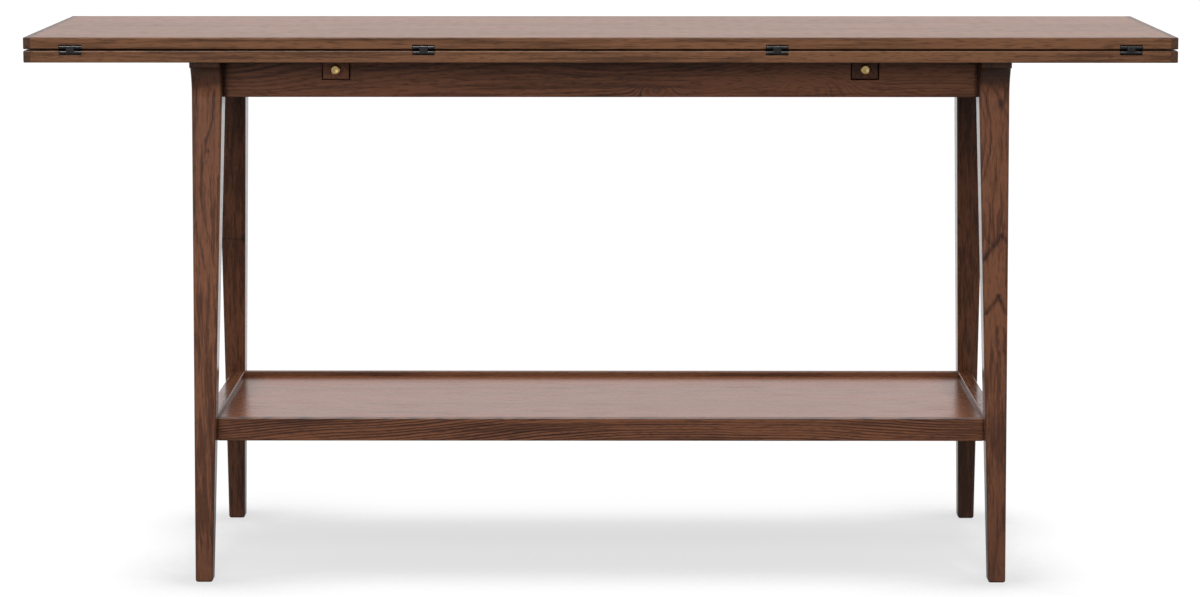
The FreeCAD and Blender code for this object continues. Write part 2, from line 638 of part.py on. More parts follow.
def make_shelf_rail(label, back):
    """The front rail, flush with the panel, or the back rail, which stands up as a lip."""
    item = new_body(label)
    top = SHELF_LIP_TOP if back else "shelf_height"
    board(item, "Board", "XZ", mirrored(SHELF_IN_X, SHELF_BOTTOM, top),
          SHELF_IN_Y if back else f"-{SHELF_OUT_Y}", "shelf_rail_thick")
    board(item, "StubTenons", "XZ", mirrored(STUB_X, SHELF_TENON_BOTTOM, STUB_TOP),
          STUB_IN_Y if back else f"-{STUB_OUT_Y}", "stub_thick")
    groove = mirrored(GROOVE_X, f"{TONGUE_BOTTOM} - joint_play", f"{TONGUE_TOP} + joint_play")
    depth = "(tongue_length + joint_play)"
    cut(item, "Groove", "XZ", [groove], f"{SHELF_IN_Y} - overcut" if back else f"-{SHELF_IN_Y} - {depth}",
        f"{depth} + overcut")
    if back:
        ease_lip(item, "X")
    return item


def make_shelf_end_rail(label):
    """The right end rail, tenoned into the legs and grooved for the panel."""
    item = new_body(label)
    corners = sloped(leg_inner_y(SHELF_BOTTOM), leg_inner_y(SHELF_LIP_TOP), SHELF_BOTTOM, SHELF_LIP_TOP)
    board(item, "Board", "YZ", corners, SHELF_IN_X, "shelf_end_rail_thick")
    board(item, "Tenons", "YZ", mirrored(SHELF_TENON_Y, SHELF_TENON_BOTTOM, SHELF_TENON_TOP), SHELF_TENON_X,
          "shelf_tenon_thick")
    groove = mirrored(GROOVE_Y, f"{TONGUE_BOTTOM} - joint_play", f"{TONGUE_TOP} + joint_play")
    cut(item, "Groove", "YZ", [groove], f"{SHELF_IN_X} - overcut", "tongue_length + joint_play + overcut")
    sockets = []
    for side in ("", "-"):
        near, far = f"{side}({STUB_IN_Y} - joint_play)", f"{side}({STUB_OUT_Y} + joint_play)"
        sockets.append(rectangle(near, far, f"{SHELF_TENON_BOTTOM} - joint_play", f"{STUB_TOP} + joint_play"))
    cut(item, "StubSockets", "YZ", sockets, f"{SHELF_IN_X} - overcut", "stub_length + joint_play + overcut")
    ease_lip(item, "Y")
    return item


def make_shelf_panel(label):
    """The panel, with a tongue on each side that stops short of the corners."""
    item = new_body(label)
    half_x, half_y = f"({SHELF_IN_X} - joint_play)", f"({SHELF_IN_Y} - joint_play)"
    board(item, "Board", "XY", mirrored(half_x, f"-{half_y}", half_y), "shelf_height - shelf_panel_thick",
          "shelf_panel_thick")
    reach_x, reach_y = f"({SHELF_IN_X} + tongue_length)", f"({SHELF_IN_Y} + tongue_length)"
    stop_x, stop_y = f"({GROOVE_X} - joint_play)", f"({GROOVE_Y} - joint_play)"
    board(item, "LongTongues", "XY", mirrored(stop_x, f"-{reach_y}", reach_y), TONGUE_BOTTOM, "tongue_thick")
    board(item, "EndTongues", "XY", mirrored(reach_x, f"-{stop_y}", stop_y), TONGUE_BOTTOM, "tongue_thick")
    return item


make_shelf_panel("shelf_panel")
make_shelf_rail("shelf_front_rail", False)
make_shelf_rail("shelf_back_rail", True)
shelf_right_end_rail = make_shelf_end_rail("shelf_right_end_rail")
keep(mirror(shelf_right_end_rail, "ShelfLeftEndRail", ACROSS_X), "shelf_left_end_rail")


# Leaves with their lippings


def make_leaf(label, bottom, face, below):
    """A leaf between its lippings, notched and recessed for the hinges in its meeting face."""
    item = new_body(label)
    half = "(leaf_length / 2 - lipping_width)"
    section = mirrored("leaf_depth / 2", bottom, f"({bottom} + leaf_thick)")
    board(item, "Board", "YZ", section, f"-{half}", f"2 * {half}")
    long_edge = number("leaf_length") / 2
    ease(item, "Fillet", "LongEdges", "Radius", "leaf_edge_radius",
         lambda edge: edge.BoundBox.XLength > long_edge)

    def from_face(depth):
        return f"{face} - {depth}" if below else f"{face} - overcut"

    notch_half_width = "(hinge_width / 2 + notch_play)"
    plate_half_width = "(hinge_width / 2 + plate_play)"
    wells, recesses, holes = [], [], []
    for index in range(HINGES):
        middle = hinge_x(index)
        wells.append(rectangle(f"{middle} - {notch_half_width}", f"{middle} + {notch_half_width}",
                               "-leaf_depth / 2 - overcut", NOTCH_BACK))
        recesses.append(rectangle(f"{middle} - {plate_half_width}", f"{middle} + {plate_half_width}",
                                  f"{NOTCH_BACK} - overcut", f"{PIN_Y} + plate_length + plate_play"))
        for side in (-1, 1):
            holes.append((f"{middle} + {side} * hinge_screw_spacing / 2", HINGE_SCREW_Y))
    cut(item, "HingeNotches", "XY", wells, from_face(NOTCH_DEPTH), f"{NOTCH_DEPTH} + overcut")
    cut(item, "PlateRecesses", "XY", recesses, from_face("plate_thick"), "plate_thick + overcut")
    depth = f"({IN_LEAF} + screw_play)"
    drill(item, "HingeScrewHoles", "XY", holes, "hinge_screw_radius + screw_play", from_face(depth),
          f"{depth} + overcut")
    return item


def make_lipping(label, bottom):
    """The right-hand lipping of a leaf, eased like the leaf and round its outer end."""
    item = new_body(label)
    inner = "(leaf_length / 2 - lipping_width)"
    section = mirrored("leaf_depth / 2", bottom, f"({bottom} + leaf_thick)")
    board(item, "Board", "YZ", section, inner, "lipping_width")
    joint = number(inner)
    ease(item, "Fillet", "Edges", "Radius", "leaf_edge_radius",
         lambda edge: edge.BoundBox.XMax > joint + NEAR)
    return item


lower_leaf = make_leaf("lower_leaf", FRAME_TOP, LOWER_TOP, True)
make_leaf("upper_leaf", UPPER_BOTTOM, UPPER_BOTTOM, False)
for name, title, bottom in (("lower", "Lower", FRAME_TOP), ("upper", "Upper", UPPER_BOTTOM)):
    lipping = make_lipping(f"{name}_leaf_right_lipping", bottom)
    keep(mirror(lipping, f"{title}LeftLipping", ACROSS_X), f"{name}_leaf_left_lipping")


# Lopers, what guides them, and the holes for it in the lower leaf


def make_loper(label, side, drawn):
    """A pull-out support, drawn with its front end at y = 0 and moved to its place."""
    item = new_body(label)
    board(item, "Bar", "XZ", mirrored("loper_width / 2", LOPER_BOTTOM, LOPER_TOP), "0", LOPER_LENGTH)
    ease(item, "Fillet", "FrontEnd", "Radius", "loper_edge_radius",
         lambda edge: edge.BoundBox.YMax < NEAR)
    slot_half = "(peg_radius + peg_play)"
    peg_closed = f"({PEG_Y} - {LOPER_FRONT})"
    slot = mirrored(slot_half, f"{peg_closed} - {slot_half}", f"{peg_closed} + {LOPER_TRAVEL} + {slot_half}")
    cut(item, "StopGroove", "XY", [slot], f"{PEG_BOTTOM} - peg_play", "peg_drop + peg_play + overcut")
    drill(item, "StudHole", "XZ", [("0", LOPER_MIDDLE)], "stud_radius + joint_play", "-overcut",
          "stud_length + joint_play + overcut")
    place(item, f"{side} * {LOPER_X}", f"{LOPER_FRONT} - {drawn}", "0")
    return item


def make_knob(label, side, drawn):
    """A turned brass knob on a stud, with its axis along Y."""
    item = new_body(label)
    sketch = new_sketch(item, "ProfileSketch", "XY", "0")
    polygon(sketch, [
        ("0", "stud_length"),
        ("stud_radius", "stud_length"),
        ("stud_radius", "0"),
        ("knob_neck_radius", "0"),
        ("knob_neck_radius", "-knob_neck_length"),
        ("knob_radius", "-knob_neck_length - knob_bevel"),
        ("knob_radius", "-knob_length + knob_bevel"),
        ("knob_radius - knob_bevel", "-knob_length"),
        ("knob_radius - knob_bevel - knob_rim", "-knob_length"),
        ("0", "-knob_length + knob_dish_depth"),
    ])
    turning = item.newObject("PartDesign::Revolution", "Turning")
    turning.Profile = sketch
    turning.ReferenceAxis = (sketch, ["V_Axis"])
    turning.Angle = 360
    place(item, f"{side} * {LOPER_X}", f"{LOPER_FRONT} - {drawn}", LOPER_MIDDLE)
    return item


def make_runner(label, inward):
    """A runner beside the right loper, screwed up into the lower leaf."""
    item = new_body(label)
    sign = "-" if inward else ""
    middle = f"({LOPER_X} + {sign}{RUNNER_MIDDLE})"
    corners = rectangle(f"{LOPER_X} + {sign}{RUNNER_IN}", f"{LOPER_X} + {sign}{RUNNER_OUT}",
                        f"-{TOP_IN_Y}", TOP_IN_Y)
    board(item, "Bar", "XY", corners, RUNNER_BOTTOM, f"{FRAME_TOP} - {RUNNER_BOTTOM}")
    hole = "wood_screw_radius + screw_play"
    drill(item, "LeafHoles", "XY", [(middle, spot) for spot in RUNNER_SCREWS], hole,
          f"{RUNNER_BOTTOM} - overcut", f"{FRAME_TOP} - {RUNNER_BOTTOM} + 2 * overcut")
    countersink(item, "LeafSinks", RUNNER_BOTTOM, "Z", "wood")
    drill(item, "KeeperHoles", "XY", [(middle, spot) for spot in KEEPER_SCREWS], hole,
          f"{RUNNER_BOTTOM} - overcut", "keeper_screw_bite + screw_play + overcut")
    return item


def make_keeper(label, front):
    """A slat under the right loper, screwed up into both runners."""
    item = new_body(label)
    corners = rectangle(f"{LOPER_X} - {RUNNER_OUT}", f"{LOPER_X} + {RUNNER_OUT}",
                        front, f"({front} + keeper_depth)")
    board(item, "Slat", "XY", corners, KEEPER_BOTTOM, "keeper_thick")
    spot = f"{front} + keeper_depth / 2"
    centres = [(f"{LOPER_X} + {sign}{RUNNER_MIDDLE}", spot) for sign in ("-", "")]
    drill(item, "Holes", "XY", centres, "wood_screw_radius + screw_play", f"{KEEPER_BOTTOM} - overcut",
          "keeper_thick + 2 * overcut")
    countersink(item, "Sinks", KEEPER_BOTTOM, "Z", "wood")
    return item


for name, side, drawn in (("left", -1, "left_loper_drawn"), ("right", 1, "0")):
    make_loper(f"{name}_loper", side, drawn)
    make_knob(f"{name}_knob", side, drawn)
    peg = rod(f"{name}_loper_stop_peg", "peg_radius", f"peg_drop + {IN_LEAF}",
              (f"{side} * {LOPER_X}", PEG_Y, PEG_BOTTOM), "up")
    keep(peg, f"{name}_loper_stop_peg")

guides = {
    "inner_runner": make_runner("right_inner_runner", True),
    "outer_runner": make_runner("right_outer_runner", False),
    "front_keeper": make_keeper("right_front_keeper", FRONT_KEEPER),
    "rear_keeper": make_keeper("right_rear_keeper", REAR_KEEPER),
}
for name, guide in guides.items():
    keep(mirror(guide, "Left" + name.title().replace("_", ""), ACROSS_X), f"left_{name}")

runner_screw_length = f"({FRAME_TOP} - {RUNNER_BOTTOM} + {IN_LEAF})"
keeper_screw_length = "(keeper_thick + keeper_screw_bite)"
runner_screws, keeper_screws, runner_holes = [], [], []
for side in (-1, 1):
    for sign in ("-", ""):
        middle = f"({side} * {LOPER_X} + {sign}{RUNNER_MIDDLE})"
        for spot in RUNNER_SCREWS:
            runner_holes.append((middle, spot))
            start = (middle, spot, RUNNER_BOTTOM)
            runner_screws.append(screw("RunnerScrew", "wood", runner_screw_length, start, "up"))
        for spot in KEEPER_SCREWS:
            start = (middle, spot, KEEPER_BOTTOM)
            keeper_screws.append(screw("KeeperScrew", "wood", keeper_screw_length, start, "up"))
group("runner_screws", runner_screws)
group("keeper_screws", keeper_screws)

top_holes = [(f"{sx}{TOP_SCREW_X}", f"{sy}{TOP_SCREW_Y}") for sx in ("", "-") for sy in ("", "-")]
drill(lower_leaf, "FixingHoles", "XY", runner_holes + top_holes, "wood_screw_radius + screw_play",
      f"{FRAME_TOP} - overcut", f"{IN_LEAF} + screw_play + overcut")
peg_holes = [(f"{side} * {LOPER_X}", PEG_Y) for side in (-1, 1)]
drill(lower_leaf, "PegHoles", "XY", peg_holes, "peg_radius + screw_play", f"{FRAME_TOP} - overcut",
      f"{IN_LEAF} + screw_play + overcut")


# Hinges: two plates, a link and two pins each, so that the leaf turns over through 180 degrees


def plate_profile(item):
    """A lower hinge plate from its end: a flat plate that runs tangent into the knuckle."""
    sketch = new_sketch(item, "ProfileSketch", "YZ", "-hinge_width / 2")
    back = f"({PIN_Y} + plate_length)"
    under = f"({LOWER_TOP} - plate_thick)"
    pin = vector(PIN_Y, LOWER_PIN)
    ring = Part.Circle(pin, FreeCAD.Vector(0, 0, 1), number("barrel_radius"))
    last_angle = 2 * math.pi + math.asin(number(f"({under} - {LOWER_PIN}) / barrel_radius"))
    knuckle_arc = Part.ArcOfCircle(ring, math.pi / 2, last_angle)

    upper = sketch.addGeometry(Part.LineSegment(vector(back, LOWER_TOP), vector(PIN_Y, LOWER_TOP)))
    knuckle = sketch.addGeometry(knuckle_arc)
    lower = sketch.addGeometry(Part.LineSegment(knuckle_arc.EndPoint, vector(back, under)))
    end = sketch.addGeometry(Part.LineSegment(vector(back, under), vector(back, LOWER_TOP)))
    sketch.addConstraint(Sketcher.Constraint("Tangent", upper, 2, knuckle, 1))
    for one, other in ((knuckle, lower), (lower, end), (end, upper)):
        sketch.addConstraint(Sketcher.Constraint("Coincident", one, 2, other, 1))
    sketch.addConstraint(Sketcher.Constraint("Horizontal", upper))
    sketch.addConstraint(Sketcher.Constraint("Horizontal", lower))
    sketch.addConstraint(Sketcher.Constraint("Vertical", end))
    hold_point(sketch, knuckle, 3, PIN_Y, LOWER_PIN)
    hold(sketch, "Radius", "barrel_radius", knuckle)
    hold_point(sketch, end, 1, back, under)
    return sketch


def make_lower_plate(label, middle):
    """A hinge's lower plate with its pair of knuckles and countersunk holes."""
    item = new_body(label)
    pad(item, "Plate", plate_profile(item), "hinge_width")
    slot_half = "(link_width / 2 + link_side_play)"
    slot = rectangle(f"{PIN_Y} - barrel_radius - overcut", NOTCH_BACK,
                     f"{LOWER_PIN} - barrel_radius - overcut", f"{LOWER_TOP} + overcut")
    cut(item, "LinkSlot", "YZ", [slot], f"-{slot_half}", f"2 * {slot_half}")
    drill(item, "PinBore", "YZ", [(PIN_Y, LOWER_PIN)], "pin_radius + pin_fit", "-hinge_width / 2 - overcut",
          "hinge_width + 2 * overcut")
    centres = [(f"{side} * hinge_screw_spacing / 2", HINGE_SCREW_Y) for side in (-1, 1)]
    drill(item, "ScrewHoles", "XY", centres, "hinge_screw_radius + screw_play",
          f"{LOWER_TOP} - plate_thick - overcut", "plate_thick + 2 * overcut")
    countersink(item, "Sinks", LOWER_TOP, "Z", "hinge")
    place(item, middle, "0", "0")
    return item


def make_link(label, middle):
    """A hinge's link: a bar with round ends over the two pins."""
    item = new_body(label)
    sketch = new_sketch(item, "ProfileSketch", "YZ", "-link_width / 2")
    radius = number("barrel_radius")
    low, high = vector(PIN_Y, LOWER_PIN), vector(PIN_Y, UPPER_PIN)
    aside = FreeCAD.Vector(radius, 0, 0)
    normal = FreeCAD.Vector(0, 0, 1)
    front = sketch.addGeometry(Part.LineSegment(low - aside, high - aside))
    head = sketch.addGeometry(Part.ArcOfCircle(Part.Circle(high, normal, radius), 0, math.pi))
    rear = sketch.addGeometry(Part.LineSegment(high + aside, low + aside))
    tail = sketch.addGeometry(Part.ArcOfCircle(Part.Circle(low, normal, radius), math.pi, 2 * math.pi))
    for joint in ((front, 2, head, 2), (head, 1, rear, 1), (rear, 2, tail, 2), (tail, 1, front, 1)):
        sketch.addConstraint(Sketcher.Constraint("Tangent", *joint))
    sketch.addConstraint(Sketcher.Constraint("Equal", head, tail))
    hold_point(sketch, tail, 3, PIN_Y, LOWER_PIN)
    hold_point(sketch, head, 3, PIN_Y, UPPER_PIN)
    hold(sketch, "Radius", "barrel_radius", tail)
    pad(item, "Bar", sketch, "link_width")
    drill(item, "PinBores", "YZ", [(PIN_Y, LOWER_PIN), (PIN_Y, UPPER_PIN)], "pin_radius + pin_run",
          "-link_width / 2 - overcut", "link_width + 2 * overcut")
    place(item, middle, "0", "0")
    return item


lower_pins, lower_screws, bumpers = [], [], []
for index in range(HINGES):
    middle = hinge_x(index)
    name = f"hinge_{index + 1}"
    lower_plate = make_lower_plate(f"{name}_lower_plate", middle)
    make_link(f"{name}_link", middle)
    keep(mirror(lower_plate, f"Hinge{index + 1}UpperPlate", ACROSS_Z, MEETING_PLANE), f"{name}_upper_plate")
    lower_pins.append(rod("LowerPin", "pin_radius", "hinge_width",
                          (f"{middle} - hinge_width / 2", PIN_Y, LOWER_PIN), "right"))
    for side in (-1, 1):
        spot = (f"{middle} + {side} * hinge_screw_spacing / 2", HINGE_SCREW_Y, LOWER_TOP)
        lower_screws.append(screw("LowerScrew", "hinge", IN_LEAF, spot, "down"))
    bumpers.append(rod("Bumper", "bumper_radius", "leaf_gap - bumper_play",
                       (middle, "leaf_depth / 2 - bumper_inset", LOWER_TOP), "up"))
lower_pin_group = group("lower_hinge_pins", lower_pins)
lower_screw_group = group("lower_hinge_screws", lower_screws)
keep(mirror(lower_pin_group, "UpperPins", ACROSS_Z, MEETING_PLANE), "upper_hinge_pins")
keep(mirror(lower_screw_group, "UpperScrews", ACROSS_Z, MEETING_PLANE), "upper_hinge_screws")
group("leaf_bumpers", bumpers)


# Check every object, then write one file for each sub-part

doc.recompute()
for item in doc.Objects:
    if "Invalid" in item.State or "Error" in item.State:
        raise RuntimeError(f"{item.Label} did not build: {item.State}")
for item in finished:
    if item.Shape.isNull() or not item.Shape.isValid() or not item.Shape.Solids:
        raise RuntimeError(f"{item.Label} has no sound solid")
os.makedirs("parts", exist_ok=True)
for item in finished:
    item.Shape.exportStep(f"parts/{item.Label}.step")
print(len(finished), "sub-parts,", sum(len(item.Shape.Solids) for item in finished), "solids")
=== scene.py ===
import functools
import json
import math
import random

import bpy
from mathutils import Euler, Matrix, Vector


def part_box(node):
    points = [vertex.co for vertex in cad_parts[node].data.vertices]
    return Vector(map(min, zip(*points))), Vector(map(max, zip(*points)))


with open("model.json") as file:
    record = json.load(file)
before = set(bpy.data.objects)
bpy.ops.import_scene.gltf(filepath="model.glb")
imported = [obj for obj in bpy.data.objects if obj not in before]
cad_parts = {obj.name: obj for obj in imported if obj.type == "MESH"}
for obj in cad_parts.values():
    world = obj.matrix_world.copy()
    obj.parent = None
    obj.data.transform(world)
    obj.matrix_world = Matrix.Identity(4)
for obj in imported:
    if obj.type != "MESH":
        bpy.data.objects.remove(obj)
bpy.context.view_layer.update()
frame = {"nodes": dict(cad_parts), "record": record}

# Folding console table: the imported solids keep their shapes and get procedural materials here.

NODES = frame["nodes"]
scene = bpy.context.scene
scene.view_settings.view_transform = "Standard"

# Camera, fitted to the photograph: 1200 x 597 pixels, metres

PHOTO_WIDTH = 1200
FOCAL_PIXELS = 3489
SENSOR = 36.0
CAMERA_PLACE = (0.0164, -5.0543, 1.1183)
CAMERA_PITCH = math.radians(90 - 8.4035)
CAMERA_YAW = math.radians(0.2)
CLIP_END = 200

camera_data = bpy.data.cameras.new("photo_camera")
camera_data.sensor_width = SENSOR
camera_data.sensor_fit = "HORIZONTAL"
camera_data.lens = FOCAL_PIXELS / PHOTO_WIDTH * SENSOR
camera_data.clip_end = CLIP_END
camera = bpy.data.objects.new("photo_camera", camera_data)
camera.location = CAMERA_PLACE
camera.rotation_euler = Euler((CAMERA_PITCH, 0, CAMERA_YAW))
scene.collection.objects.link(camera)
scene.camera = camera


# Node helpers

def feed(tree, socket, value):
    """Link a socket to an input, or set the input to a constant."""
    if isinstance(value, bpy.types.NodeSocket):
        tree.links.new(value, socket)
    elif value is not None:
        socket.default_value = value


def node(tree, kind, *values, **settings):
    """Add a node. Each value feeds the input of its place: a socket is linked, a constant set, None left."""
    made = tree.nodes.new(kind)
    for key, setting in settings.items():
        setattr(made, key, setting)
    for place, value in enumerate(values):
        feed(tree, made.inputs[place], value)
    return made


def calc(tree, operation, *values):
    """A math node's result."""
    return node(tree, "ShaderNodeMath", *values, operation=operation).outputs[0]


def vector_calc(tree, operation, *values):
    """A vector math node's vector."""
    return node(tree, "ShaderNodeVectorMath", *values, operation=operation).outputs[0]


def noise(tree, vector, scale, detail=2.0, roughness=0.5):
    """A noise texture's value, around 0.5."""
    made = node(tree, "ShaderNodeTexNoise", vector)
    made.inputs["Scale"].default_value = scale
    made.inputs["Detail"].default_value = detail
    made.inputs["Roughness"].default_value = roughness
    return made.outputs[0]


def ramp(tree, value, *stops):
    """A grey ramp; each stop is a place and a level."""
    made = node(tree, "ShaderNodeValToRGB", value)
    points = made.color_ramp.elements
    while len(points) < len(stops):
        points.new(0.5)
    for point, (place, level) in zip(points, stops):
        point.position = place
        point.color = (level, level, level, 1)
    return made.outputs[0]


def blend(tree, factor, first, second):
    """Mix two colours. The node's colour sockets have fixed places, because their names repeat."""
    made = node(tree, "ShaderNodeMix", factor, data_type="RGBA")
    feed(tree, made.inputs[6], first)
    feed(tree, made.inputs[7], second)
    return made.outputs[2]


def rgba(colour):
    """A colour with full alpha."""
    return (*colour, 1.0)


def empty_tree(data):
    """The node tree of a new material or world, with nothing in it."""
    data.use_nodes = True
    data.node_tree.nodes.clear()
    return data.node_tree


def new_material(name):
    """A material with an otherwise empty tree, and its Principled shader."""
    material = bpy.data.materials.new(name)
    tree = empty_tree(material)
    shader = node(tree, "ShaderNodeBsdfPrincipled")
    node(tree, "ShaderNodeOutputMaterial", shader.outputs[0])
    return material, tree, shader


def relief(tree, height, strength, distance, arris):
    """A bumped normal, on arrises eased by a small radius."""
    made = node(tree, "ShaderNodeBump")
    made.inputs["Strength"].default_value = strength
    made.inputs["Distance"].default_value = distance
    eased = node(tree, "ShaderNodeBevel", arris)
    feed(tree, made.inputs["Height"], height)
    feed(tree, made.inputs["Normal"], eased.outputs[0])
    return made.outputs[0]


def dress(name, material):
    """Give a CAD node its material."""
    mesh = NODES[name].data
    mesh.materials.clear()
    mesh.materials.append(material)


# Wood

# The axes of a board by its grain: along the grain, across it, and into the board
ORDER = {"X": (0, 1, 2), "XZ": (0, 2, 1), "Y": (1, 0, 2), "Z": (2, 0, 1)}

# How far a board's noises may be shifted, so that no two boards are alike
SHIFT = 9

# Noises: waves in a metre along the grain and across it, detail and roughness
WANDER = (2.2, 7.0, 2.0, 0.5)
SHIVER = (14.0, 70.0, 3.0, 0.6)
WOBBLE = (34.0, 30.0, 3.0, 0.5)
GRIT = (60.0, 520.0, 2.0, 0.5)
PATCHES = (4.0, 32.0, 3.0, 0.5)
FIBRE = (16.0, 520.0, 3.0, 0.6)
STREAKS = (4.0, 170.0, 3.0, 0.6)
CLOUDS = (3.5, 16.0, 3.0, 0.5)
PORES = (70.0, 620.0, 1.0, 0.5)

# Ramps: stops, each a place and a level
YEAR_STOPS = ((0.0, 0.1), (0.40, 0.0), (0.78, 0.9), (0.90, 1.0), (1.0, 0.1))
PATCH_STOPS = ((0.36, 0.12), (0.66, 1.0))
GRIT_STOPS = ((0.32, 0.4), (0.58, 1.0))
PORE_STOPS = ((0.54, 0.0), (0.68, 1.0))

# How far the rings wander and shiver, and how far a vein wobbles, in metres
WANDER_DEPTH = 0.030
SHIVER_DEPTH = 0.0030
WOBBLE_DEPTH = 0.012
NO_WOBBLE = 0.5

# How the years differ, a knot's length and dark core for its size, and how blunt a vein's ends are
YEAR_SCALE = 0.45
YEAR_DIFFERENCE = 0.2
KNOT_STRETCH = 2.0
KNOT_CORE = 0.35
VEIN_END = 2.5

# Shares of the noises in the tone, the roughness and the relief
FIBRE_TONE = 0.50
STREAK_TONE = 0.90
CLOUD_TONE = 0.60
TONE_SPREAD = 0.16
FIBRE_ROUGHNESS = 0.10
PORE_ROUGHNESS = 0.12
FIBRE_HEIGHT = 0.5
PORE_DEPTH = 0.6
SPECULAR = 0.5
WOOD_RELIEF = 0.0004
WOOD_ARRIS = 0.0008


def grain_noise(tree, spot, traits, reach=1.0):
    """One of the noises above, drawn out along the grain by reach."""
    along, across, detail, roughness = traits
    drawn = vector_calc(tree, "MULTIPLY", spot, (along / reach, across, across))
    return noise(tree, drawn, 1.0, detail, roughness)


def bell(tree, square, scale=1.0):
    """1 where the squared distance is 0, falling off over the scale."""
    return calc(tree, "POWER", math.e, calc(tree, "MULTIPLY", square, -1 / scale ** 2))


def hill(tree, first, second, along, across, size):
    """1 at a spot on a board, falling off round it, farther along the grain than across it."""
    east = calc(tree, "MULTIPLY_ADD", first, 1 / KNOT_STRETCH, -along / KNOT_STRETCH)
    north = calc(tree, "SUBTRACT", second, across)
    square = calc(tree, "ADD", calc(tree, "MULTIPLY", east, east), calc(tree, "MULTIPLY", north, north))
    return bell(tree, square, size)


def vein(tree, first, second, wobble, start, end, bow, width, strength):
    """A dark streak between two spots, each a place along the grain and across it, bowed in between."""
    run = end[0] - start[0]
    part = calc(tree, "MULTIPLY_ADD", first, 1 / run, -start[0] / run)
    rest = calc(tree, "SUBTRACT", 1.0, part)

    # 1 halfway, and 0 at the ends and past them
    inside = calc(tree, "MAXIMUM", calc(tree, "MULTIPLY", calc(tree, "MULTIPLY", part, rest), 4.0), 0.0)
    centre = calc(tree, "MULTIPLY_ADD", part, end[1] - start[1], start[1] - WOBBLE_DEPTH / 2)
    centre = calc(tree, "MULTIPLY_ADD", inside, bow, centre)
    centre = calc(tree, "MULTIPLY_ADD", wobble, WOBBLE_DEPTH, centre)
    off = calc(tree, "DIVIDE", calc(tree, "SUBTRACT", second, centre), width)
    core = bell(tree, calc(tree, "MULTIPLY", off, off))
    ends = calc(tree, "MINIMUM", calc(tree, "MULTIPLY", inside, VEIN_END), 1.0)
    return calc(tree, "MULTIPLY", calc(tree, "MULTIPLY", core, ends), strength)


def shading(tree, first, second, middle, slant, stops):
    """Painted shade that changes along the grain, slanted across it, also used once for a real crack; each
    stop is a place and a level.
    """
    start = stops[0][0]
    run = stops[-1][0] - start
    place = calc(tree, "MULTIPLY_ADD", second, slant, calc(tree, "ADD", first, -slant * middle))
    part = calc(tree, "MULTIPLY_ADD", place, 1 / run, -start / run)
    return ramp(tree, part, *(((at - start) / run, level) for at, level in stops))


def growth(tree, radius, first, drift, spacing, uneven):
    """How dark the late wood is at a radius, in years that differ in width and strength."""
    turns = calc(tree, "DIVIDE", radius, spacing)
    spot = node(tree, "ShaderNodeCombineXYZ", turns, first, drift).outputs[0]
    turns = calc(tree, "MULTIPLY_ADD", noise(tree, spot, YEAR_SCALE), uneven, turns)
    chance = node(tree, "ShaderNodeTexWhiteNoise", noise_dimensions="1D")
    feed(tree, chance.inputs["W"], calc(tree, "FLOOR", turns))
    swing = YEAR_DIFFERENCE * uneven
    strength = calc(tree, "MULTIPLY_ADD", chance.outputs["Value"], swing, 1 - swing)
    return calc(tree, "MULTIPLY", ramp(tree, calc(tree, "FRACT", turns), *YEAR_STOPS), strength)


def deeper(tones, factor):
    """The same stain, lighter or darker; on the rear legs and the lopers this is painted light and shade."""
    return tuple(tuple(part * factor for part in tone) for tone in tones)


